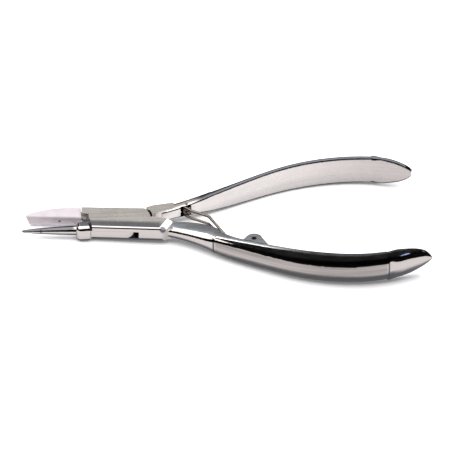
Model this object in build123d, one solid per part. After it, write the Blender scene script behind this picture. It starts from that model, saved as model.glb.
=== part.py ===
"""Half-nylon-jaw box-joint pliers: a flat nylon jaw, a round needle jaw and a hairpin return spring.

Millimetres. +X runs from the joint to the handle tails, +Y is the nylon jaw's side and +Z is the
joint axis. The origin is where that axis meets the joint's flat underside. The pliers are modelled
open, as the return spring holds them.
"""
from build123d import *
import math
import os

os.makedirs("parts", exist_ok=True)

# Joint
JOINT_NEAR_Y = -5.63
JOINT_NEAR_SLOPE = -0.112
JOINT_FAR_Y = 6.6
JOINT_FAR_SLOPE = -0.09
JOINT_THICKNESS = 6.0
MID_Z = JOINT_THICKNESS / 2
TENON_THICKNESS = 2.4
SLOT_THICKNESS = 2.48
TENON_RADIUS = 5.7
SLOT_RADIUS = 5.78
FRONT_CHEEK_RADIUS = 12.55
FRONT_SHOULDER_RADIUS = 12.75
REAR_CHEEK_RADIUS = 8.7
REAR_SHOULDER_RADIUS = 9.6
BOSS_END_X = 12.4
BOSS_CORNER = (12.4, -4.6, 0)
BOSS_END_ANGLE = -30
NECK_START_X = 14.4
NECK_END_X = 16.0
ROOT_RAMP_X = (10.0, 17.0)
NECK_HALF_HEIGHT = 2.1
TOP_ROUNDING = 0.9
UNDERSIDE_ROUNDING = 2.1
ROOT_Z = (0.2, 5.7)
ROOT_CORNER_ROUNDING = 1.1
ROOT_TOP_ROUNDING = 1.7
ROOT_UNDERSIDE_ROUNDING = 1.2
RIVET_RADIUS = 2.0
RIVET_RUNNING_CLEARANCE = 0.04

# Needle jaw, as (x, radius) along its axis
NEEDLE_ROOT_X = -15.8
NEEDLE_TIP_X = -35.4
NEEDLE_ROOT_Y = -1.97
NEEDLE_TIP_Y = -1.47
NEEDLE_RADII = [(-15.8, 1.72), (-19.5, 1.56), (-24.5, 1.30), (-30.0, 0.93), (-34.6, 0.52)]
NEEDLE_TIP_RADIUS = 0.42

# Nylon jaw and the steel tongue inside it
PAD_FACE = [(-14.75, 2.92), (-33.7, 4.6)]
PAD_BACK = [(-32.3, 6.9), (-28.6, 8.15), (-25.2, 8.95), (-21.2, 9.35), (-14.75, 9.0)]
PAD_NOSE_Y = 5.6
PAD_HALF_HEIGHT = 1.85
PAD_NOSE_SETBACK = 1.5
PAD_EDGE_ROUNDING = 0.8
TONGUE_END_X = -31.0
TONGUE_Y = (5.2, 7.4)
TONGUE_HALF_HEIGHT = 0.9
PAD_PIN_X = -22.2
PAD_PIN_RADIUS = 0.5
PAD_PIN_Y = (3.9, 9.2)

# Bow handles: values of (x, value) that a smooth curve runs through
INNER_HALF_BOW = [(11.0, 7.3), (20.0, 11.0), (30.0, 14.9), (42.0, 20.5), (56.0, 26.7), (70.0, 30.3),
                  (82.0, 31.0), (92.0, 29.5), (101.6, 26.0)]
INNER_HALF_DEPTH = [(11.0, 4.1), (20.0, 4.2), (30.0, 3.8), (42.0, 3.4), (70.0, 3.6), (101.6, 3.5)]
INNER_HALF_SQUARENESS = [(11.0, 5.0), (22.0, 3.6), (36.0, 2.3), (50.0, 2.0), (101.6, 2.0)]
INNER_HALF_END_X = 101.3
BOX_HALF_BOW = [(11.0, 5.1), (20.0, 8.6), (30.0, 15.2), (42.0, 22.0), (56.0, 28.7), (70.0, 32.1),
                (82.0, 32.2), (92.0, 29.8), (102.2, 25.0)]
BOX_HALF_DEPTH = [(11.0, 4.7), (15.0, 5.1), (20.5, 7.2), (30.0, 5.3), (42.0, 4.35), (56.0, 5.1),
                  (70.0, 5.1), (82.0, 4.7), (92.0, 4.3), (101.6, 4.0)]
BOX_HALF_SQUARENESS = [(11.0, 6.0), (24.0, 5.0), (38.0, 3.0), (54.0, 2.3), (101.6, 2.1)]
BOX_HALF_END_X = 102.2
HANDLE_HEIGHT = [(11.0, 4.2), (20.0, 4.7), (28.0, 6.9), (42.0, 9.2), (58.0, 10.5), (74.0, 10.8), (101.6, 10.9)]
HANDLE_CROWN = [(11.0, 0.15), (30.0, 0.13), (48.0, 0.04), (60.0, 0.0), (101.6, 0.0)]
HANDLE_START_X = 11.2
TAIL_LENGTH = 13.2
SECTION_CORNER = 0.8
SECTION_SPACING = 6.0
GRIP_START_X = 29.2
GRIP_END_X = 87.0
GRIP_RECESS = 0.12

# Lug with a through hole, inside the box half's handle
LUG_HOLE = (42.9, -15.7)
LUG_HOLE_RADIUS = 0.85
LUG_RADIUS = 2.75
LUG_Z = (4.7, 7.1)

# Return spring, its pin and its pocket
SPRING_PIN = (21.3, 7.8)
SPRING_PIN_RADIUS = 0.5
WIRE_RADIUS = 0.5
COIL_RADIUS = 1.06
COIL_PITCH = 1.04
LEG_HALF_SPACING = 1.56
POCKET_X = (19.2, 23.0)
POCKET_BACK_Y = 9.62
POCKET_HALF_HEIGHT = 2.12
SPRING_BEND = (22.95, 4.65)
SPRING_KNEE = (28.6, 1.2)
SPRING_LOOP = (34.69, -11.37)
LOOP_HALF_SPACING = 0.85
SPRING_BEND_RADIUS = 3.0
SPRING_KNEE_RADIUS = 2.0
LOOP_RADIUS = 0.75
FREE_END = 1.0


def prism(points, low, high):
    """A vertical prism over a closed plan outline."""
    outline = Polyline(*points, close=True)
    return extrude(make_face(outline), amount=high - low).moved(Location((0, 0, low)))


def disc(radius, low, high, centre=(0, 0)):
    """A vertical cylinder between two heights."""
    body = Cylinder(radius, high - low)
    return body.moved(Location((centre[0], centre[1], (low + high) / 2)))


def smooth_curve(knots):
    """A natural cubic spline: the smoothest curve through the knots, as a function of x."""
    xs, ys = zip(*knots)
    count = len(xs)
    gaps = [b - a for a, b in zip(xs, xs[1:])]
    rises = [(b - a) / gap for a, b, gap in zip(ys, ys[1:], gaps)]
    bends, diagonals = [0.0], [1.0]
    for i in range(1, count - 1):
        share = gaps[i - 1] / diagonals[-1] if i > 1 else 0.0
        diagonals.append(2 * (gaps[i - 1] + gaps[i]) - share * gaps[i - 1] * (i > 1))
        bends.append(6 * (rises[i] - rises[i - 1]) - share * bends[-1])
    curvature = [0.0] * count
    for i in range(count - 2, 0, -1):
        curvature[i] = (bends[i] - gaps[i] * curvature[i + 1]) / diagonals[i]

    def value(x):
        i = max([k for k in range(count - 1) if xs[k] <= x], default=0)
        gap, left, right = gaps[i], x - xs[i], xs[i + 1] - x
        ends = (curvature[i] * right ** 3 + curvature[i + 1] * left ** 3) / (6 * gap)
        start = (ys[i] / gap - curvature[i] * gap / 6) * right
        return ends + start + (ys[i + 1] / gap - curvature[i + 1] * gap / 6) * left

    return value


def tail_share(to_end):
    """How much of the full height is left near the end: all of it, until the tail rounds off."""
    reach = max(0.0, TAIL_LENGTH - to_end) / (TAIL_LENGTH + 0.2)
    return math.sqrt(1 - reach * reach)


def handle_section(x, side, end, bow, depth_curve, squareness, recess):
    """One D section: a flat inner face and a rounded outer face, square to the handle's path."""
    outer, power, crown = bow(x), squareness(x), smooth_curve(HANDLE_CROWN)(x)
    share = tail_share(end - x)
    depth = depth_curve(x) * (0.45 + 0.55 * share)
    slope = (bow(x + 0.05) - bow(x - 0.05)) / 0.1
    length = math.hypot(1, slope)
    inward = (slope / length, -side / length)
    half = smooth_curve(HANDLE_HEIGHT)(x) * share / 2 - recess / 2
    rounding = min(SECTION_CORNER, half / 3, depth / 3)

    def at(u, z):
        return Vector(x + inward[0] * (depth - u), side * outer + inward[1] * (depth - u), MID_Z + z)

    def outer_point(degrees):
        angle = math.radians(degrees)
        rise = math.copysign(abs(math.sin(angle)) ** (2 / power), angle)
        u = max(math.cos(angle), 0) ** (2 / power) * (depth - recess - rounding)
        return at(rounding + u * (1 - crown * rise * rise), rise * half)

    points = [outer_point(angle) for angle in range(90, -91, -15)]
    outward = at(1, 0) - at(0, 0)
    curve = Edge.make_spline(points, tangents=[outward, outward * -1])
    diagonal = rounding * (1 - math.sqrt(0.5))
    top = Edge.make_three_point_arc(at(0, half - rounding), at(diagonal, half - diagonal), points[0])
    bottom = Edge.make_three_point_arc(points[-1], at(diagonal, diagonal - half), at(0, rounding - half))
    flat = Edge.make_line(at(0, rounding - half), at(0, half - rounding))
    return Face(Wire([flat, top, curve, bottom]))


def handle_span(shape, start, end, recess):
    """The handle between two stations, with its outer face set back by the recess."""
    count = max(2, round((end - start) / SECTION_SPACING))
    shares = [i / count for i in range(count + 1)]
    if end == shape[1]:
        shares = [math.sin(math.pi / 2 * i / 7) for i in range(8)]
    return loft([handle_section(start + (end - start) * share, *shape, recess) for share in shares])


def bow_handle(side, end, bow, depths, squareness):
    """A whole handle: a root, a grip set back by a hair, and a rounded tail."""
    shape = (side, end, smooth_curve(bow), smooth_curve(depths), smooth_curve(squareness))
    root = handle_span(shape, HANDLE_START_X, GRIP_START_X, 0)
    grip = handle_span(shape, GRIP_START_X, GRIP_END_X, GRIP_RECESS)
    tail = handle_span(shape, GRIP_END_X, end, 0)
    return root + grip + tail


def near_side(x):
    """The joint's near side plane, as Y at x."""
    return JOINT_NEAR_Y + JOINT_NEAR_SLOPE * x


def far_side(x):
    """The joint's far side plane, as Y at x."""
    return JOINT_FAR_Y + JOINT_FAR_SLOPE * x


def boss_envelope(start, end):
    """The joint's side profile: full height to the ramp's start, then down to the neck's height."""
    low, high = MID_Z - NECK_HALF_HEIGHT, MID_Z + NECK_HALF_HEIGHT
    profile = [(-60, 0), (start, 0), (end, low), (40, low),
               (40, high), (end, high), (start, JOINT_THICKNESS), (-60, JOINT_THICKNESS)]
    outline = Plane.XZ * Polyline(*profile, close=True)
    return extrude(make_face(outline), amount=30, both=True)


def box_block():
    """The cheeks with the far jaw's root, in full height, before the slot is cut."""
    outline = [(-14.6, far_side(-14.6)), (-14.6, 3.6), (-12.4, 3.45), (-11.2, near_side(-11.2)),
               (BOSS_END_X, near_side(BOSS_END_X)), (NECK_START_X, -6.0), (NECK_END_X, -5.8),
               (NECK_END_X, -2.0), (NECK_START_X, -1.2),
               (10.4, 0.2), (8.7, 0.4), (8.7, far_side(8.7))]
    envelope = boss_envelope(BOSS_END_X, NECK_START_X).rotate(Axis(BOSS_CORNER, (0, 0, 1)), BOSS_END_ANGLE)
    block = prism(outline, 0, JOINT_THICKNESS) & envelope
    front = prism([(-18, 3.2), (-18, -9), (-9, -9), (-9, 3.2)], -1, 8) - disc(FRONT_CHEEK_RADIUS, -2, 9)
    rear = prism([(3, 0.4), (12, 0.4), (12, 9), (3, 9)], -1, 8) - disc(REAR_CHEEK_RADIUS, -2, 9)
    return block - front - rear


def cheek_slot():
    """The slot through the cheeks, wide enough for the tenon over its whole travel."""
    low, high = MID_Z - SLOT_THICKNESS / 2, MID_Z + SLOT_THICKNESS / 2
    outline = [(-16, -9), (4.4, -9), (4.5, -3.6), (6.15, -1.9), (10.6, -0.4), (16, -0.4),
               (16, 9), (-4.4, 9), (-4.5, 3.6), (-6.0, 2.45), (-12.6, 3.5), (-16, 3.5)]
    return prism(outline, low, high) + disc(SLOT_RADIUS, low, high)


def rounded_long_edges(block):
    """Rounds the block's long edges, lightly on top and fully below."""
    for height, radius in ((JOINT_THICKNESS, TOP_ROUNDING), (0, UNDERSIDE_ROUNDING)):
        edges = [edge for edge in block.edges()
                 if edge.geom_type == GeomType.LINE and edge.length > 5
                 and abs(edge.tangent_at(0.5).X) > 0.98
                 and abs(edge.center().Z - height) < 0.01]
        block = fillet(edges, radius)
    return block


def tongue():
    """The steel tongue that carries the nylon pad."""
    low, high = MID_Z - TONGUE_HALF_HEIGHT, MID_Z + TONGUE_HALF_HEIGHT
    near, far = TONGUE_Y
    return prism([(-14.0, near), (TONGUE_END_X, near), (TONGUE_END_X, far - 0.5), (-14.0, far)], low, high)


def cross_pin(near, far):
    """A round pin through the pad, along Y."""
    body = Cylinder(PAD_PIN_RADIUS, far - near)
    return body.moved(Location((PAD_PIN_X, (near + far) / 2, MID_Z), (90, 0, 0)))


def lug():
    """The drilled lug on the inner face of the box half's handle."""
    x, y = LUG_HOLE
    low, high = LUG_Z
    base = [(x - 4.6, y - 1.6), (x - 2.3, y + 1.5), (x + 2.3, y + 1.2), (x + 4.6, y - 3.9), (x, y - 3.0)]
    return prism(base, low, high) + disc(LUG_RADIUS, low, high, LUG_HOLE)


def make_box_half():
    """The cheeks, the nylon jaw's tongue and the handle with the lug: one forging."""
    joint = rounded_long_edges(box_block())
    body = joint - cheek_slot()
    handle = bow_handle(-1, BOX_HALF_END_X, BOX_HALF_BOW, BOX_HALF_DEPTH, BOX_HALF_SQUARENESS)
    body = body + handle + tongue() + lug()
    body = body - disc(RIVET_RADIUS, -1, 8) - cross_pin(*PAD_PIN_Y)
    return body - disc(LUG_HOLE_RADIUS, -4, 12, LUG_HOLE)


def tenon():
    """The flat tenon that crosses the box, from the needle jaw to the far handle."""
    low, high = MID_Z - TENON_THICKNESS / 2, MID_Z + TENON_THICKNESS / 2
    strip = prism([(-15, near_side(-15)), (15, near_side(15)), (15, 8), (-15, 8)], low, high)
    hub = disc(TENON_RADIUS, low, high) & strip
    front = prism([(-13.0, near_side(-13)), (0, near_side(0)), (0, 2.0), (-5.4, 1.2), (-13.0, 1.2)], low, high)
    rear = prism([(0, -2.0), (5.4, -1.0), (9.6, 1.75), (11.5, 3.3), (11.5, 6.4), (7.2, 5.7), (0, 5.5)],
                 low, high)
    return hub + front + rear


def jaw_root():
    """The root of the needle jaw, a little lower than the cheeks and softly rounded."""
    outline = [(-10.0, -4.6), (-15.4, -4.9), (-16.7, -4.0), (-16.7, -0.4), (-14.9, 0.4), (-10.0, 1.3)]
    low, high = ROOT_Z
    block = prism(outline, low, high)
    corners = [edge for edge in block.edges().filter_by(Axis.Z) if edge.center().X < -14]
    block = fillet(corners, ROOT_CORNER_ROUNDING)
    for height, radius in ((high, ROOT_TOP_ROUNDING), (low, ROOT_UNDERSIDE_ROUNDING)):
        edges = [edge for edge in block.edges()
                 if abs(edge.center().Z - height) < 0.01 and edge.center().X < -11
                 and edge.center().Y < -0.7]
        block = fillet(edges, radius)
    return block - disc(FRONT_SHOULDER_RADIUS, -1, 8)


def handle_root():
    """The full-height root of the far handle, behind the cheeks."""
    start, end = ROOT_RAMP_X
    outline = [(6.4, 5.6), (8.8, 1.75), (10.5, 2.55), (end, 6.0), (end, 9.4), (start, 7.0)]
    block = prism(outline, 0, JOINT_THICKNESS) & boss_envelope(start, end)
    return block - disc(REAR_SHOULDER_RADIUS, -1, 8)


def needle():
    """The round tapered jaw, with a domed tip."""
    sections = []
    for x, radius in NEEDLE_RADII:
        share = (x - NEEDLE_ROOT_X) / (NEEDLE_TIP_X - NEEDLE_ROOT_X)
        centre = (x, NEEDLE_ROOT_Y + share * (NEEDLE_TIP_Y - NEEDLE_ROOT_Y), MID_Z)
        sections.append(Plane(centre, x_dir=(0, 1, 0), z_dir=(-1, 0, 0)) * Circle(radius))
    dome = Sphere(NEEDLE_TIP_RADIUS).moved(Location((NEEDLE_TIP_X + 0.75, NEEDLE_TIP_Y, MID_Z)))
    return loft(sections) + dome


def spring_pocket():
    """The pocket for the spring's coils in the far handle's inner flank."""
    low, high = MID_Z - POCKET_HALF_HEIGHT, MID_Z + POCKET_HALF_HEIGHT
    start, end = POCKET_X
    return prism([(start, 0), (end, 0), (end, POCKET_BACK_Y), (start, POCKET_BACK_Y)], low, high)


def make_inner_half():
    """The needle jaw, the tenon and the far handle: one forging."""
    handle = bow_handle(1, INNER_HALF_END_X, INNER_HALF_BOW, INNER_HALF_DEPTH, INNER_HALF_SQUARENESS)
    body = handle_root() + handle + tenon() + jaw_root() + needle()
    body = body - disc(RIVET_RADIUS + RIVET_RUNNING_CLEARANCE, -1, 8)
    return body - spring_pocket() - disc(SPRING_PIN_RADIUS, -1, 8, SPRING_PIN)


def make_pivot_rivet():
    """The flush rivet that is the joint's axle."""
    return disc(RIVET_RADIUS, 0, JOINT_THICKNESS)


def make_nylon_pad():
    """The nylon sleeve over the tongue: a flat gripping face and a rounded back."""
    (root_x, root_y), (tip_x, tip_y) = PAD_FACE
    face = Line((root_x, root_y), (tip_x, tip_y))
    nose = Line((tip_x, tip_y), (tip_x - 0.1, PAD_NOSE_Y))
    back = Spline((tip_x - 0.1, PAD_NOSE_Y), *PAD_BACK)
    root = Line(PAD_BACK[-1], (root_x, root_y))
    low = MID_Z - PAD_HALF_HEIGHT
    solid = extrude(make_face(face + nose + back + root), amount=2 * PAD_HALF_HEIGHT)
    solid = solid.moved(Location((0, 0, low)))
    long_edges = [edge for edge in solid.edges().filter_by(Plane.XY) if edge.center().X < root_x - 1]
    solid = fillet(long_edges, PAD_EDGE_ROUNDING)
    slope = [(tip_x - 0.2, MID_Z + PAD_HALF_HEIGHT + 0.4), (tip_x + PAD_NOSE_SETBACK, low - 0.4),
             (tip_x - 3, low - 0.4), (tip_x - 3, MID_Z + PAD_HALF_HEIGHT + 0.4)]
    nose_cut = extrude(make_face(Plane.XZ * Polyline(*slope, close=True)), amount=20, both=True)
    return solid - nose_cut - tongue() - cross_pin(0, PAD_PIN_Y[1])


def make_pad_pin():
    """The cross pin that holds the pad on the tongue."""
    return cross_pin(*PAD_PIN_Y)


def rounded_path(corners, radii):
    """Straight runs joined by tangent arcs, through a list of corners."""
    edges = []
    start = corners[0]
    for before, corner, after, radius in zip(corners, corners[1:], corners[2:], radii):
        back = (before - corner).normalized()
        ahead = (after - corner).normalized()
        half_turn = math.radians(back.get_angle(ahead)) / 2
        reach = radius / math.tan(half_turn)
        middle = (back + ahead).normalized() * (radius / math.sin(half_turn) - radius)
        entry, leave = corner + back * reach, corner + ahead * reach
        edges.append(Edge.make_line(start, entry))
        edges.append(Edge.make_three_point_arc(entry, corner + middle, leave))
        start = leave
    edges.append(Edge.make_line(start, corners[-1]))
    return Wire(edges)


def wire_along(path):
    """Round spring wire along a path."""
    section = Plane(path.position_at(0), z_dir=path.tangent_at(0)) * Circle(WIRE_RADIUS)
    return sweep(section, path=path)


def spring_legs():
    """Both legs and the closed loop between them, from one coil to the other."""
    px, py = SPRING_PIN
    inset = COIL_RADIUS * math.sqrt(0.5)
    plan = [(px - inset, py - inset), SPRING_BEND, SPRING_KNEE, SPRING_LOOP]
    heights = [LEG_HALF_SPACING] * 3 + [LOOP_HALF_SPACING]
    upper = [Vector(x, y, MID_Z + z) for (x, y), z in zip(plan, heights)]
    lower = [Vector(x, y, MID_Z - z) for (x, y), z in zip(plan, heights)]
    bends = [SPRING_BEND_RADIUS, SPRING_KNEE_RADIUS, LOOP_RADIUS]
    return wire_along(rounded_path(upper + lower[::-1], bends + bends[::-1]))


def spring_coil():
    """The upper coil turn, with its free end resting in the pocket."""
    px, py = SPRING_PIN
    foot = MID_Z + LEG_HALF_SPACING - COIL_PITCH
    helix = Edge.make_helix(COIL_PITCH, COIL_PITCH, COIL_RADIUS).rotate(Axis.Z, 225)
    turn = wire_along(Wire([helix.moved(Location((px, py, foot)))]))
    inset = COIL_RADIUS * math.sqrt(0.5)
    root = Vector(px - inset, py - inset, foot)
    reach = FREE_END * math.sqrt(0.5)
    end = wire_along(Wire([Edge.make_line(root, root + Vector(-reach, reach, 0))]))
    joints = Sphere(WIRE_RADIUS).moved(Location(tuple(root)))
    crown = Sphere(WIRE_RADIUS).moved(Location((px - inset, py - inset, foot + COIL_PITCH)))
    return turn + end + joints + crown


def make_return_spring():
    """A double torsion spring: two coils on one pin and two legs that meet in a closed loop."""
    coil = spring_coil()
    return spring_legs() + coil + mirror(coil, about=Plane.XY.offset(MID_Z))


def make_spring_pin():
    """The pin through the pocket, with a domed top end."""
    low, high = MID_Z - 2.55, MID_Z + 2.5
    dome = Sphere(SPRING_PIN_RADIUS + 0.1).moved(Location((*SPRING_PIN, high - 0.3)))
    return disc(SPRING_PIN_RADIUS, low, high, SPRING_PIN) + (dome & disc(0.5, high - 1, high + 1, SPRING_PIN))


def main():
    """Builds every piece and writes it to its own file."""
    pieces = {
        "box_half": make_box_half(), "inner_half": make_inner_half(), "pivot_rivet": make_pivot_rivet(),
        "nylon_pad": make_nylon_pad(), "pad_pin": make_pad_pin(), "return_spring": make_return_spring(),
        "spring_pin": make_spring_pin()}
    for name, piece in pieces.items():
        export_step(piece, f"parts/{name}.step")
        print(name, len(piece.solids()), "solid(s), volume", round(piece.volume, 2))


main()
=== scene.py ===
"""Looks, light and camera for a small pair of half-nylon-jaw box-joint pliers."""
import logging
import math
from dataclasses import dataclass
from enum import Enum
from typing import Any, Optional, Sequence

import bpy
from mathutils import Matrix, Vector


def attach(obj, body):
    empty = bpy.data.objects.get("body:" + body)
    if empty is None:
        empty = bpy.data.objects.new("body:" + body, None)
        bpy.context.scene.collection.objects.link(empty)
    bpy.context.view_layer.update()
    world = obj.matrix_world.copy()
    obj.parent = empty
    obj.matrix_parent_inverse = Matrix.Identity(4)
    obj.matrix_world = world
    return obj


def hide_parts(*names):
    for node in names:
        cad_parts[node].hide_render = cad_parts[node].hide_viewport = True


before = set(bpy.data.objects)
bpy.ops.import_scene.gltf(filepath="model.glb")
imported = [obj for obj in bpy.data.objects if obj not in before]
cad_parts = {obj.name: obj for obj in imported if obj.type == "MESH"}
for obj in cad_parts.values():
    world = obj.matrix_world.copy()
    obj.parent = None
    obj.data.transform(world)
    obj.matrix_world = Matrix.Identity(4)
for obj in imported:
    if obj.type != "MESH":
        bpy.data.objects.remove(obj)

LOG = logging.getLogger("pliers")
MM = 0.001
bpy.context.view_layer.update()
Tree = bpy.types.NodeTree
Socket = bpy.types.NodeSocket


class Body(Enum):
    """The moving groups that a piece can ride on."""

    BOX = "box_side"
    NEEDLE = "needle_side"
    SPRING = "spring"


# ---------------------------------------------------------------- node helpers


def linear(hex_colour: str) -> tuple[float, float, float, float]:
    """Turns an sRGB hex colour into the linear colour that a shader reads.

    Args:
        hex_colour: six hex digits, such as "c8c4bf".

    Returns:
        Linear red, green, blue and an alpha of 1.
    """
    channels = [int(hex_colour[i:i + 2], 16) / 255 for i in (0, 2, 4)]
    curve = [c / 12.92 if c <= 0.04045 else ((c + 0.055) / 1.055) ** 2.4 for c in channels]
    return (curve[0], curve[1], curve[2], 1.0)


def add(tree: Tree, kind: str, settings: Optional[dict] = None, **inputs: Any) -> bpy.types.Node:
    """Adds one node with its settings, values and links.

    Args:
        tree: the node tree.
        kind: the node's type name.
        settings: attributes of the node, such as its operation.
        inputs: values or sockets for its inputs, by name with _ for a space, or by i0, i1 for an index.

    Returns:
        The new node.
    """
    node = tree.nodes.new(kind)
    for name, value in (settings or {}).items():
        setattr(node, name, value)
    for name, value in inputs.items():
        index = int(name[1:]) if name[0] == "i" and name[1:].isdigit() else None
        socket = node.inputs[index] if index is not None else node.inputs[name.replace("_", " ")]
        if isinstance(value, Socket):
            tree.links.new(value, socket)
        else:
            socket.default_value = value
    return node


def new_material(name: str) -> tuple[bpy.types.Material, Tree, bpy.types.Node]:
    """Makes an empty material with a Principled shader joined to its output.

    Args:
        name: the material's name.

    Returns:
        The material, its tree and the shader node.
    """
    material = bpy.data.materials.new(name)
    material.use_nodes = True
    tree = material.node_tree
    tree.nodes.clear()
    shader = add(tree, "ShaderNodeBsdfPrincipled")
    add(tree, "ShaderNodeOutputMaterial", Surface=shader.outputs["BSDF"])
    return material, tree, shader


# ---------------------------------------------------------------- finishes


class Lay(Enum):
    """Which way the marks of the last finishing step run, as (across X, across Y, across Z) per metre."""

    ALONG = (22.0, 2600.0, 600.0)
    LEVEL = (20.0, 20.0, 900.0)
    ROUND = (1500.0, 1500.0, 300.0)


def ramp(tree: Tree, value: Socket, start: float, end: float) -> Socket:
    """Adds a smooth step from 0 at the start to 1 at the end.

    Args:
        tree: the node tree.
        value: the value to step on.
        start: where the step leaves 0.
        end: where the step reaches 1.

    Returns:
        The step's output.
    """
    smooth = {"interpolation_type": "SMOOTHSTEP"}
    return add(tree, "ShaderNodeMapRange", smooth, Value=value, i1=start, i2=end).outputs[0]


def times(tree: Tree, first: Socket, *others: Any) -> Socket:
    """Adds the product of two or more values.

    Args:
        tree: the node tree.
        first: the first value.
        others: the other values or sockets.

    Returns:
        The product's output.
    """
    product = first
    for other in others:
        product = add(tree, "ShaderNodeMath", {"operation": "MULTIPLY"}, i0=product, i1=other).outputs[0]
    return product


def mix(tree: Tree, share: Socket, first: Any, second: Any) -> Socket:
    """Adds a blend of two colours.

    Args:
        tree: the node tree.
        share: how much of the second colour shows.
        first: the colour or socket at 0.
        second: the colour or socket at 1.

    Returns:
        The blend's colour output.
    """
    return add(tree, "ShaderNodeMix", {"data_type": "RGBA"}, i0=share, i6=first, i7=second).outputs[2]


class SurfacePoint:
    """Where a point of a surface is and which way the surface faces there, as steps to make masks of."""

    def __init__(self, tree: Tree) -> None:
        """Adds the nodes that read the place and the facing.

        Args:
            tree: the node tree.
        """
        spots = add(tree, "ShaderNodeTexCoord")
        self.tree = tree
        self.place = spots.outputs["Object"]
        at = add(tree, "ShaderNodeSeparateXYZ", Vector=self.place)
        facing = add(tree, "ShaderNodeSeparateXYZ", Vector=spots.outputs["Normal"])
        self.x, self.y = at.outputs["X"], at.outputs["Y"]
        self.facing_y, self.facing_z = facing.outputs["Y"], facing.outputs["Z"]

    def along_x(self, start_mm: float, end_mm: float) -> Socket:
        """Steps from 0 to 1 between two places along X, in mm."""
        return ramp(self.tree, self.x, start_mm * MM, end_mm * MM)

    def along_y(self, start_mm: float, end_mm: float) -> Socket:
        """Steps from 0 to 1 between two places along Y, in mm."""
        return ramp(self.tree, self.y, start_mm * MM, end_mm * MM)

    def faces_y(self, start: float, end: float) -> Socket:
        """Steps from 0 to 1 between two values of the normal's Y."""
        return ramp(self.tree, self.facing_y, start, end)

    def faces_z(self, start: float, end: float) -> Socket:
        """Steps from 0 to 1 between two values of the normal's Z."""
        return ramp(self.tree, self.facing_z, start, end)

    def product(self, *masks: Any) -> Socket:
        """Multiplies masks or values."""
        return times(self.tree, *masks)

    def either(self, first: Socket, second: Socket) -> Socket:
        """Takes the larger of two masks."""
        return add(self.tree, "ShaderNodeMath", {"operation": "MAXIMUM"}, i0=first, i1=second).outputs[0]


# A tone laid over the steel, mostly painted shade: its mask, how much of it shows and its hex colour.
Tone = tuple[Socket, float, str]


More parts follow.
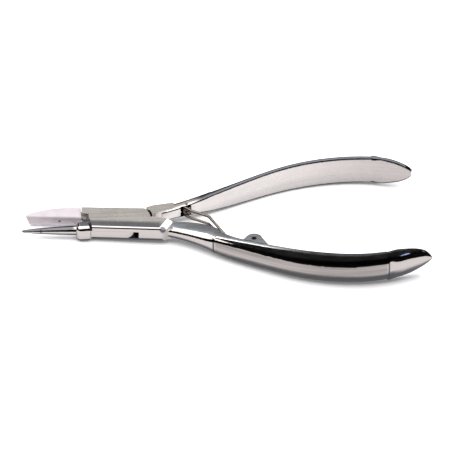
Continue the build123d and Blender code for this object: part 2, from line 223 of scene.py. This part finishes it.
@dataclass(frozen=True)
class StainlessSteel:
    """Forged stainless steel: buffed to a mirror, with ground flats, fine marks, and painted shade in its
    crevices.

    The buffed sides give crisp black and white bands. The flats, which only the grinding belt
    reached, spread the light into an even grey with hair lines along them. Darker tones, placed by
    position and facing, are painted shade and painted reflection of a dark room on several faces
    and edges.
    """

    name: str = "stainless_steel_buffed_and_ground"
    colour: str = "c3bfbd"
    neck_painted_shade_colour: str = "7f858d"
    side_painted_shade_colour: str = "9d9895"
    cheek_painted_shade_colour: str = "5e6168"
    painted_shade_and_line_colour: str = "3c3f46"
    line_colour: str = "4f4b49"
    crevice_painted_shade_colour: str = "1c1815"
    buffed_roughness: float = 0.07
    ground_roughness: float = 0.27
    crevice_mm: float = 1.8
    haze_per_metre: float = 160.0
    grip_mm: tuple[float, float] = (29.2, 87.0)
    neck_from_mm: float = 14.0
    inner_face_from_mm: float = 24.0
    cheek_band_mm: tuple[float, float] = (-0.8, -2.8)
    cheek_slope: float = 0.112
    corner_mm: tuple[float, float, float] = (12.6, -6.3, 5.2)
    flat_line_share: float = 0.25

    def inner_face(self, point: SurfacePoint) -> Socket:
        """Masks the far handle's flat inner face.

        Args:
            point: the surface point.

        Returns:
            The mask.
        """
        start = self.inner_face_from_mm
        behind = point.product(point.along_x(start, start + 4), point.along_y(2, 4))
        return point.product(point.faces_y(-0.80, -0.90), behind)

    def grip(self, point: SurfacePoint) -> Socket:
        """Masks the near handle's outer side between its seams.

        Args:
            point: the surface point.

        Returns:
            The mask.
        """
        start, end = self.grip_mm
        inside = point.product(point.along_x(start, start + 1), point.along_x(end, end - 1))
        return point.product(inside, point.along_y(1, 0), point.faces_y(-0.55, -0.85))

    def grip_end_lines(self, point: SurfacePoint) -> Socket:
        """Masks a thin line at each end of the near grip.

        Known fault: the line repeats every grip length, so one also falls across the needle at
        X -28.6 mm, where the jaw has none. A factor of along_x(20, 24) would remove it.

        Args:
            point: the surface point.

        Returns:
            The mask.
        """
        start, end = (edge * MM for edge in self.grip_mm)
        past = add(point.tree, "ShaderNodeMath", {"operation": "SUBTRACT"}, i0=point.x, i1=start).outputs[0]
        to_seam = add(point.tree, "ShaderNodeMath", {"operation": "PINGPONG"}, i0=past, i1=(end - start) / 2)
        line = ramp(point.tree, to_seam.outputs[0], 0.4 * MM, 0.15 * MM)
        return point.product(line, point.along_y(1, 0), point.faces_y(-0.1, -0.4))

    def cheek_band(self, point: SurfacePoint, top: Socket) -> Socket:
        """Masks the joint's top along its near edge, which runs at a slant, for a band of painted shade.

        Args:
            point: the surface point.
            top: the mask of flat tops.

        Returns:
            The mask.
        """
        across = add(point.tree, "ShaderNodeMath", {"operation": "MULTIPLY_ADD"}, i0=point.x,
                     i1=self.cheek_slope, i2=point.y).outputs[0]
        start, end = (edge * MM for edge in self.cheek_band_mm)
        return point.product(ramp(point.tree, across, start, end), top, point.along_x(14, 11))

    def corner(self, point: SurfacePoint) -> Socket:
        """Masks the small corner where the near cheek ends beside the neck, for a spot of painted shade.

        Args:
            point: the surface point.

        Returns:
            The mask.
        """
        centre = tuple(value * MM for value in self.corner_mm)
        away = add(point.tree, "ShaderNodeVectorMath", {"operation": "DISTANCE"}, i0=point.place, i1=centre)
        return ramp(point.tree, away.outputs[1], 1.5 * MM, 0.8 * MM)

    def tones(self, point: SurfacePoint, top: Socket, inner: Socket) -> list[Tone]:
        """Lists the tones that are laid over the steel, in order: painted shade and painted reflection, and
        thin dark lines at the grip's ends.

        Args:
            point: the surface point.
            top: the mask of flat tops.
            inner: the mask of the far handle's inner face.

        Returns:
            The tones.
        """
        # Painted reflection of a dark room: the near handle's root top is tinted a darker blue-grey.
        back = point.along_x(self.neck_from_mm, self.neck_from_mm + 3)
        neck = point.product(back, top, point.along_y(1, 0))
        # Painted shade: the near side faces and the far handle's inner face towards its tail are darker.
        outer = point.product(point.faces_y(-0.3, -0.6), point.along_y(3, 1))
        tail = point.product(inner, point.along_x(45, 100))
        # Painted shade on faces that look down, on the needle's top and on the far handle's crest.
        low = point.faces_z(0.0, -0.22)
        needle = point.product(point.along_x(-16.5, -18), point.along_y(1, 0), point.faces_z(0.35, 0.9))
        crest_shade = point.product(point.faces_z(0.2, 0.5), point.along_y(6, 8), point.along_x(22, 27))
        return [
            (neck, 0.9, self.neck_painted_shade_colour),
            (self.cheek_band(point, top), 0.9, self.cheek_painted_shade_colour),
            (outer, 0.8, self.side_painted_shade_colour),
            (tail, 0.8, self.side_painted_shade_colour),
            (low, 0.92, self.painted_shade_and_line_colour),
            (needle, 0.85, self.painted_shade_and_line_colour),
            (crest_shade, 0.92, self.painted_shade_and_line_colour),
            (self.grip_end_lines(point), 0.8, self.painted_shade_and_line_colour),
            (self.corner(point), 0.9, self.painted_shade_and_line_colour),
        ]

    def hair_lines(self, point: SurfacePoint, top: Socket) -> Socket:
        """Adds the fine lines of the grinding belt, which run along flat tops and level on the sides.

        Args:
            point: the surface point.
            top: the mask of flat tops.

        Returns:
            The lines' height.
        """
        tree = point.tree
        flat_lay = add(tree, "ShaderNodeMapping", i0=point.place, Scale=Lay.ALONG.value)
        side_lay = add(tree, "ShaderNodeMapping", i0=point.place, Scale=Lay.LEVEL.value)
        lay = add(tree, "ShaderNodeMix", {"data_type": "VECTOR"}, i0=top, i4=side_lay.outputs[0],
                  i5=flat_lay.outputs[0])
        return add(tree, "ShaderNodeTexNoise", i0=lay.outputs[1], Scale=1.0, Detail=4.0).outputs[0]

    def roughness(self, point: SurfacePoint, ground: Socket,
                  hair: Socket) -> Socket:
        """Works out the roughness: low where buffed, higher where ground, uneven in both.

        Args:
            point: the surface point.
            ground: the mask of ground flats.
            hair: the hair lines.

        Returns:
            The roughness.
        """
        tree = point.tree
        noise = add(tree, "ShaderNodeTexNoise", i0=point.place, Scale=self.haze_per_metre, Detail=3.0)
        base = add(tree, "ShaderNodeMapRange", Value=ground, i3=self.buffed_roughness,
                   i4=self.ground_roughness)
        uneven = add(tree, "ShaderNodeMapRange", Value=hair, i1=0.3, i2=0.7, i3=0.8, i4=1.25)
        cloudy = add(tree, "ShaderNodeMapRange", Value=noise.outputs[0], i1=0.35, i2=0.7, i3=0.85, i4=1.2)
        return point.product(base.outputs[0], uneven.outputs[0], cloudy.outputs[0])

    def build(self) -> bpy.types.Material:
        """Builds the material.

        Returns:
            The finished material.
        """
        material, tree, shader = new_material(self.name)
        point = SurfacePoint(tree)
        top = point.faces_z(0.955, 0.99)
        inner = self.inner_face(point)
        ground = point.either(top, inner)
        marked = point.either(point.product(ground, self.flat_line_share), self.grip(point))
        hair = self.hair_lines(point, top)

        colour: Any = linear(self.colour)
        for mask, share, tone in self.tones(point, top, inner):
            colour = mix(tree, point.product(mask, share), colour, linear(tone))
        shade = add(tree, "ShaderNodeMapRange", Value=hair, i1=0.3, i2=0.72, i3=0.7, i4=0.0)
        colour = mix(tree, point.product(shade.outputs[0], marked), colour, linear(self.line_colour))
        # Painted shade: colour darkens where the ambient occlusion node finds the surface hemmed in.
        hollow = add(tree, "ShaderNodeAmbientOcclusion", {"samples": 6}, Distance=self.crevice_mm * MM)
        colour = mix(tree, ramp(tree, hollow.outputs["AO"], 0.34, 0.74), linear(self.crevice_painted_shade_colour), colour)

        depth = add(tree, "ShaderNodeMapRange", Value=marked, i3=0.02, i4=0.07)
        bump = add(tree, "ShaderNodeBump", Height=hair, Strength=depth.outputs[0], Distance=0.04 * MM)
        tree.links.new(colour, shader.inputs["Base Color"])
        tree.links.new(self.roughness(point, ground, hair), shader.inputs["Roughness"])
        tree.links.new(bump.outputs[0], shader.inputs["Normal"])
        shader.inputs["Metallic"].default_value = 1.0
        return material


@dataclass(frozen=True)
class DrawnWire:
    """Hard-drawn stainless spring wire: a little darker and duller than the forgings, with die lines."""

    name: str = "stainless_spring_wire_drawn"
    colour: str = "6f6762"
    crevice_painted_shade_colour: str = "201b18"
    crevice_mm: float = 0.8
    roughness: float = 0.2
    lay: Lay = Lay.ROUND

    def build(self) -> bpy.types.Material:
        """Builds the material.

        Returns:
            The finished material.
        """
        material, tree, shader = new_material(self.name)
        place = add(tree, "ShaderNodeTexCoord").outputs["Object"]
        streaks = add(tree, "ShaderNodeMapping", i0=place, Scale=self.lay.value)
        lines = add(tree, "ShaderNodeTexNoise", i0=streaks.outputs[0], Scale=1.0, Detail=3.0).outputs[0]
        rough = add(tree, "ShaderNodeMapRange", Value=lines, i1=0.3, i2=0.7,
                    i3=self.roughness * 0.7, i4=self.roughness * 1.4)
        # Painted shade: colour darkens where the coil's turns and legs crowd the wire.
        hollow = add(tree, "ShaderNodeAmbientOcclusion", {"samples": 6}, Distance=self.crevice_mm * MM)
        shade = ramp(tree, hollow.outputs["AO"], 0.2, 0.75)
        colour = mix(tree, shade, linear(self.crevice_painted_shade_colour), linear(self.colour))
        bump = add(tree, "ShaderNodeBump", Height=lines, Strength=0.08, Distance=0.03 * MM)
        tree.links.new(colour, shader.inputs["Base Color"])
        tree.links.new(rough.outputs[0], shader.inputs["Roughness"])
        tree.links.new(bump.outputs[0], shader.inputs["Normal"])
        shader.inputs["Metallic"].default_value = 1.0
        return material


@dataclass(frozen=True)
class PinSteel:
    """Cut and peened pin ends: small, dark and rough beside the buffed steel round them."""

    name: str = "steel_pin_peened"
    colour: str = "6d6560"
    roughness: float = 0.38

    def build(self) -> bpy.types.Material:
        """Builds the material.

        Returns:
            The finished material.
        """
        material, tree, shader = new_material(self.name)
        place = add(tree, "ShaderNodeTexCoord").outputs["Object"]
        dents = add(tree, "ShaderNodeTexNoise", i0=place, Scale=2800.0, Detail=2.0).outputs[0]
        rough = add(tree, "ShaderNodeMapRange", Value=dents, i1=0.3, i2=0.7,
                    i3=self.roughness - 0.1, i4=self.roughness + 0.1)
        bump = add(tree, "ShaderNodeBump", Height=dents, Strength=0.3, Distance=0.05 * MM)
        tree.links.new(rough.outputs[0], shader.inputs["Roughness"])
        tree.links.new(bump.outputs[0], shader.inputs["Normal"])
        shader.inputs["Base Color"].default_value = linear(self.colour)
        shader.inputs["Metallic"].default_value = 1.0
        return material


@dataclass(frozen=True)
class WhiteNylon:
    """Injection-moulded nylon 6: milky white, light passes a little way in, and the sheen is soft.

    Handling leaves it slightly greyer and rougher in soft patches.
    """

    name: str = "nylon_6_white_moulded"
    colour: str = "c4bcc1"
    worn_colour: str = "bbb2b7"
    roughness: float = 0.45

    def build(self) -> bpy.types.Material:
        """Builds the material.

        Returns:
            The finished material.
        """
        material, tree, shader = new_material(self.name)
        place = add(tree, "ShaderNodeTexCoord").outputs["Object"]
        cloud = add(tree, "ShaderNodeTexNoise", i0=place, Scale=210.0, Detail=3.0).outputs[0]
        grain = add(tree, "ShaderNodeTexNoise", i0=place, Scale=2400.0, Detail=2.0).outputs[0]
        colour = mix(tree, ramp(tree, cloud, 0.38, 0.7), linear(self.colour), linear(self.worn_colour))
        rough = add(tree, "ShaderNodeMapRange", Value=cloud, i1=0.3, i2=0.7,
                    i3=self.roughness - 0.06, i4=self.roughness + 0.08)
        bump = add(tree, "ShaderNodeBump", Height=grain, Strength=0.12, Distance=0.03 * MM)
        tree.links.new(colour, shader.inputs["Base Color"])
        tree.links.new(rough.outputs[0], shader.inputs["Roughness"])
        tree.links.new(bump.outputs[0], shader.inputs["Normal"])
        shader.inputs["Subsurface Weight"].default_value = 0.3
        shader.inputs["Subsurface Radius"].default_value = (1.0, 0.85, 0.85)
        shader.inputs["Subsurface Scale"].default_value = 1.2 * MM
        return material


def dress(node: str, body: Body, material: bpy.types.Material) -> None:
    """Gives a CAD node one material on every slot.

    Args:
        node: the node's name.
        body: the moving group that it belongs to.
        material: the material.
    """
    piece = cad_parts[node]
    if not piece.material_slots:
        piece.data.materials.append(material)
    for place in piece.material_slots:
        place.material = material
    LOG.info("%s on %s wears %s", node, body.value, material.name)


# ---------------------------------------------------------------- sub-assemblies


@dataclass
class BoxSide:
    """The cheeked half with its handle and lug, the rivet pressed into it and the pad's cross pin."""

    steel: bpy.types.Material
    pin_steel: bpy.types.Material

    def build(self) -> None:
        """Dresses the forging, its rivet and the pin."""
        dress("box_half", Body.BOX, self.steel)
        dress("pivot_rivet", Body.BOX, self.steel)
        dress("pad_pin", Body.BOX, self.pin_steel)


@dataclass
class NeedleSide:
    """The needle jaw, the tenon and the far handle, with the pin that carries the spring."""

    steel: bpy.types.Material
    pin_steel: bpy.types.Material

    def build(self) -> None:
        """Dresses the forging and the spring's pin."""
        dress("inner_half", Body.NEEDLE, self.steel)
        dress("spring_pin", Body.NEEDLE, self.pin_steel)


@dataclass
class NylonJaw:
    """The moulded pad over the steel tongue."""

    nylon: bpy.types.Material

    def build(self) -> None:
        """Dresses the pad."""
        dress("nylon_pad", Body.BOX, self.nylon)


@dataclass
class ReturnSpring:
    """The double torsion spring: one wire from a coil, down a leg, round the loop and back up.

    Sizes are in mm.
    """

    wire: bpy.types.Material
    wire_radius: float = 0.5
    coil_radius: float = 1.06
    coil_pitch: float = 1.04
    pin: tuple[float, float] = (21.3, 7.8)
    bend: tuple[float, float] = (22.95, 4.65)
    knee: tuple[float, float] = (28.6, 1.2)
    loop: tuple[float, float] = (34.69, -11.37)
    leg_half_spacing: float = 1.56
    loop_half_spacing: float = 0.85
    bend_radii: tuple[float, float, float] = (3.0, 2.0, 0.75)
    free_end: float = 1.0
    mid_height: float = 3.0
    start_degrees: float = 225.0
    turn_points: int = 28
    bend_points: int = 12
    wire_sides: int = 20

    def upper_half(self) -> tuple[list[Vector], list[float]]:
        """Works out the upper half of the wire's path.

        Returns:
            Points from the free end to the loop's corner, and how far each corner is rounded.
        """
        centre = Vector((self.pin[0], self.pin[1], self.mid_height + self.leg_half_spacing - self.coil_pitch))
        start = math.radians(self.start_degrees)
        points, radii = [], []
        for i in range(self.turn_points + 1):
            turn = i / self.turn_points
            angle = start + 2 * math.pi * turn
            across, along = self.coil_radius * math.cos(angle), self.coil_radius * math.sin(angle)
            points.append(centre + Vector((across, along, self.coil_pitch * turn)))
            radii.append(0.0)
        reach = self.free_end / math.sqrt(2)
        points.insert(0, points[0] + Vector((-reach, reach, 0)))
        radii.insert(0, 0.0)
        high = self.mid_height + self.leg_half_spacing
        loop_height = self.mid_height + self.loop_half_spacing
        corners = [(*self.bend, high), (*self.knee, high), (*self.loop, loop_height)]
        return points + [Vector(corner) for corner in corners], radii + list(self.bend_radii)

    def path(self) -> bpy.types.Object:
        """Makes the whole wire's corner path as a mesh of edges, with a bend radius at each point.

        Returns:
            The path object, in metres.
        """
        points, radii = self.upper_half()
        lower = [Vector((p.x, p.y, 2 * self.mid_height - p.z)) for p in reversed(points)]
        points, radii = points + lower, radii + radii[::-1]
        mesh = bpy.data.meshes.new("return_spring_wire")
        edges = [(i, i + 1) for i in range(len(points) - 1)]
        mesh.from_pydata([tuple(p * MM) for p in points], edges, [])
        bends = mesh.attributes.new("bend_radius", "FLOAT", "POINT")
        for item, radius in zip(bends.data, radii):
            item.value = radius * MM
        piece = bpy.data.objects.new("return_spring_wire", mesh)
        bpy.context.scene.collection.objects.link(piece)
        return piece

    def tree(self) -> Tree:
        """Builds the node group that turns a corner path into round wire.

        Returns:
            The node group, with inputs for the wire's radius, its sides and its material.
        """
        tree = bpy.data.node_groups.new("wire_along_path", "GeometryNodeTree")
        face = tree.interface
        face.new_socket("Path", in_out="INPUT", socket_type="NodeSocketGeometry")
        face.new_socket("Wire Radius", in_out="INPUT", socket_type="NodeSocketFloat")
        face.new_socket("Wire Sides", in_out="INPUT", socket_type="NodeSocketInt")
        face.new_socket("Material", in_out="INPUT", socket_type="NodeSocketMaterial")
        face.new_socket("Wire", in_out="OUTPUT", socket_type="NodeSocketGeometry")
        given = add(tree, "NodeGroupInput").outputs
        bend = add(tree, "GeometryNodeInputNamedAttribute", {"data_type": "FLOAT"}, Name="bend_radius")
        line = add(tree, "GeometryNodeMeshToCurve", Mesh=given["Path"])
        filleted = add(tree, "GeometryNodeFilletCurve", Curve=line.outputs[0], Radius=bend.outputs[0])
        filleted.mode = "POLY"
        filleted.inputs["Count"].default_value = self.bend_points
        ring = add(tree, "GeometryNodeCurvePrimitiveCircle", Resolution=given["Wire Sides"],
                   Radius=given["Wire Radius"])
        swept = add(tree, "GeometryNodeCurveToMesh", Curve=filleted.outputs[0], Profile_Curve=ring.outputs[0],
                    Fill_Caps=True)
        smooth = add(tree, "GeometryNodeSetShadeSmooth", Geometry=swept.outputs[0])
        real = add(tree, "GeometryNodeRealizeInstances", Geometry=smooth.outputs[0])
        dressed = add(tree, "GeometryNodeSetMaterial", Geometry=real.outputs[0], Material=given["Material"])
        add(tree, "NodeGroupOutput", Wire=dressed.outputs[0])
        return tree

    def build(self) -> None:
        """Builds the wire, stands it in for the CAD spring and gives it the spring's body."""
        source = self.path()
        tree = self.tree()
        modifier = source.modifiers.new("wire", "NODES")
        modifier.node_group = tree
        values = {"Wire Radius": self.wire_radius * MM, "Wire Sides": self.wire_sides, "Material": self.wire}
        for item in tree.interface.items_tree:
            if item.in_out == "INPUT" and item.name in values:
                modifier[item.identifier] = values[item.name]
        source.update_tag()
        graph = bpy.context.evaluated_depsgraph_get()
        mesh = bpy.data.meshes.new_from_object(source.evaluated_get(graph))
        source.modifiers.remove(modifier)
        source.data = mesh
        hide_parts("return_spring")
        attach(source, Body.SPRING.value)
        LOG.info("return spring: one wire of %d faces", len(mesh.polygons))


# ---------------------------------------------------------------- studio


@dataclass
class Studio:
    """The pale table, the soft light, the two cards that only polish sees and the camera."""

    elevation: float = 36.0
    azimuth: float = -3.5
    distance: float = 1.0
    lens_mm: float = 235.2
    sensor_mm: float = 36.0
    aim: tuple[float, float, float] = (0.0, 0.0, 3 * MM)
    aim_left_mm: float = 34.0136
    aim_below_mm: float = 0.068
    table_reach: float = 1.6
    table_glow: float = 0.2
    rest_x: float = -16 * MM
    rest_z: float = -0.03 * MM
    rest_slope: float = -0.0305
    card_height: float = 0.025
    pane_height: float = 0.0246
    room_low: float = 0.012
    room_high: float = 1.15
    softbox_place: tuple[float, float, float] = (-0.1, 0.06, 0.9)
    softbox_size: tuple[float, float] = (2.2, 1.35)
    softbox_radiance: float = 2.95

    def back(self) -> Vector:
        """Works out the direction from the object towards the camera.

        Returns:
            A unit vector.
        """
        a, e = math.radians(self.azimuth), math.radians(self.elevation)
        return Vector((math.sin(a) * math.cos(e), -math.cos(a) * math.cos(e), math.sin(e)))

    def add_camera(self) -> None:
        """Makes the camera at the studio's viewing angle."""
        data = bpy.data.cameras.new("camera")
        data.sensor_width = self.sensor_mm
        data.lens = self.lens_mm
        camera = bpy.data.objects.new("camera", data)
        bpy.context.scene.collection.objects.link(camera)
        back = self.back()
        turn = (-back).to_track_quat("-Z", "Y").to_matrix()
        right, up = turn.col[0], turn.col[1]
        shift = right * self.aim_left_mm * MM + up * self.aim_below_mm * MM
        place = Vector(self.aim) + back * self.distance + shift
        camera.matrix_world = Matrix.Translation(place) @ turn.to_4x4()
        data.clip_start, data.clip_end = 0.01, 20.0
        bpy.context.scene.camera = camera

    def add_sheet(self, name: str, corners: Sequence[Sequence[float]], material: bpy.types.Material) -> Any:
        """Adds one flat sheet that is part of the studio.

        Args:
            name: the sheet's name.
            corners: its corners in order, in metres.
            material: its material.

        Returns:
            The sheet.
        """
        mesh = bpy.data.meshes.new(name)
        mesh.from_pydata([tuple(corner) for corner in corners], [], [tuple(range(len(corners)))])
        sheet = bpy.data.objects.new(name, mesh)
        bpy.context.scene.collection.objects.link(sheet)
        mesh.materials.append(material)
        return sheet

    def add_table(self) -> None:
        """Makes the pale table top, tilted by the just under two degrees at which the pliers rest."""
        reach = self.table_reach
        corners = [(x, y, self.rest_z + self.rest_slope * (x - self.rest_x))
                   for x, y in ((-reach, -reach), (reach, -reach), (reach, reach), (-reach, reach))]
        # Opal acrylic over lamps: an even matte white that glows a little and keeps shadows light.
        material, tree, shader = new_material("white_acrylic_light_table")
        place = add(tree, "ShaderNodeTexCoord").outputs["Object"]
        grain = add(tree, "ShaderNodeTexNoise", i0=place, Scale=900.0, Detail=2.0).outputs[0]
        rough = add(tree, "ShaderNodeMapRange", Value=grain, i3=0.75, i4=0.95)
        tree.links.new(rough.outputs[0], shader.inputs["Roughness"])
        shader.inputs["Base Color"].default_value = linear("fbf9fb")
        shader.inputs["Specular IOR Level"].default_value = 0.1
        shader.inputs["Emission Color"].default_value = linear("ffffff")
        shader.inputs["Emission Strength"].default_value = self.table_glow
        self.add_sheet("table_top", corners, material)

    def add_card(self, name: str, plan: Sequence[Sequence[float]], height: float,
                 material: bpy.types.Material) -> None:
        """Adds a level card over the handles that only their polish sees.

        Args:
            name: the card's name.
            plan: its corners' X and Y, in metres.
            height: its height, in metres.
            material: its material.
        """
        card = self.add_sheet(name, [(x, y, height) for x, y in plan], material)
        card.visible_camera = False
        card.visible_shadow = False
        card.visible_diffuse = False
        card.visible_transmission = False

    def add_dark_card(self) -> None:
        """Makes the velvet card whose reflection is the near handle's black band."""
        # Velvet is black from every side, so what mirrors it is a clean dark band.
        material, _, shader = new_material("black_velvet_card")
        shader.inputs["Base Color"].default_value = linear("050506")
        shader.inputs["Roughness"].default_value = 1.0
        shader.inputs["Specular IOR Level"].default_value = 0.0
        plan = [(0.014, -0.09), (0.125, -0.09), (0.125, 0.004), (0.075, 0.002), (0.062, -0.008),
                (0.045, -0.014), (0.030, -0.009), (0.016, -0.004)]
        self.add_card("dark_card", plan, self.card_height, material)

    def add_window(self) -> None:
        """Makes the small bluish pane that glints on the near tail."""
        material, _, shader = new_material("window_glow")
        shader.inputs["Base Color"].default_value = linear("000000")
        shader.inputs["Emission Color"].default_value = linear("a9c6ff")
        shader.inputs["Emission Strength"].default_value = 2.4
        plan = [(0.108, -0.043), (0.115, -0.043), (0.115, -0.035), (0.108, -0.035)]
        self.add_card("window_pane", plan, self.pane_height, material)

    def add_softbox(self) -> None:
        """Adds the soft overhead light, which is seen in reflections but not by the camera."""
        data = bpy.data.lights.new("overhead_softbox", "AREA")
        data.shape = "RECTANGLE"
        data.size, data.size_y = self.softbox_size
        data.energy = self.softbox_radiance * math.pi * data.size * data.size_y
        light = bpy.data.objects.new("overhead_softbox", data)
        bpy.context.scene.collection.objects.link(light)
        light.location = self.softbox_place
        light.visible_camera = False

    def add_world(self) -> None:
        """Fills the room with light: pale and high beyond the object, dark near the horizon and in front."""
        world = bpy.data.worlds.new("room")
        world.use_nodes = True
        tree = world.node_tree
        tree.nodes.clear()
        direction = add(tree, "ShaderNodeTexCoord").outputs["Generated"]
        axes = add(tree, "ShaderNodeSeparateXYZ", Vector=direction)
        beyond = ramp(tree, axes.outputs["Y"], 0.1, 0.7)
        raised = ramp(tree, axes.outputs["Z"], 0.36, 0.54)
        glow = add(tree, "ShaderNodeMapRange", Value=times(tree, beyond, raised), i3=self.room_low,
                   i4=self.room_high)
        light = add(tree, "ShaderNodeBackground", Color=linear("dcd8d3"), Strength=glow.outputs[0])
        add(tree, "ShaderNodeOutputWorld", Surface=light.outputs[0])
        bpy.context.scene.world = world

    def build(self) -> None:
        """Builds the whole studio."""
        self.add_camera()
        self.add_table()
        self.add_dark_card()
        self.add_window()
        self.add_world()
        self.add_softbox()
        LOG.info("studio: table, dark card, window pane, room, softbox and camera")


def main() -> None:
    """Builds the pliers' looks and the studio, in order."""
    logging.basicConfig(level=logging.INFO)
    steel = StainlessSteel().build()
    pin_steel = PinSteel().build()
    BoxSide(steel, pin_steel).build()
    NeedleSide(steel, pin_steel).build()
    NylonJaw(WhiteNylon().build()).build()
    ReturnSpring(DrawnWire().build()).build()
    Studio().build()
    bpy.context.scene.view_settings.view_transform = "Standard"


if __name__ == "__main__":
    main()
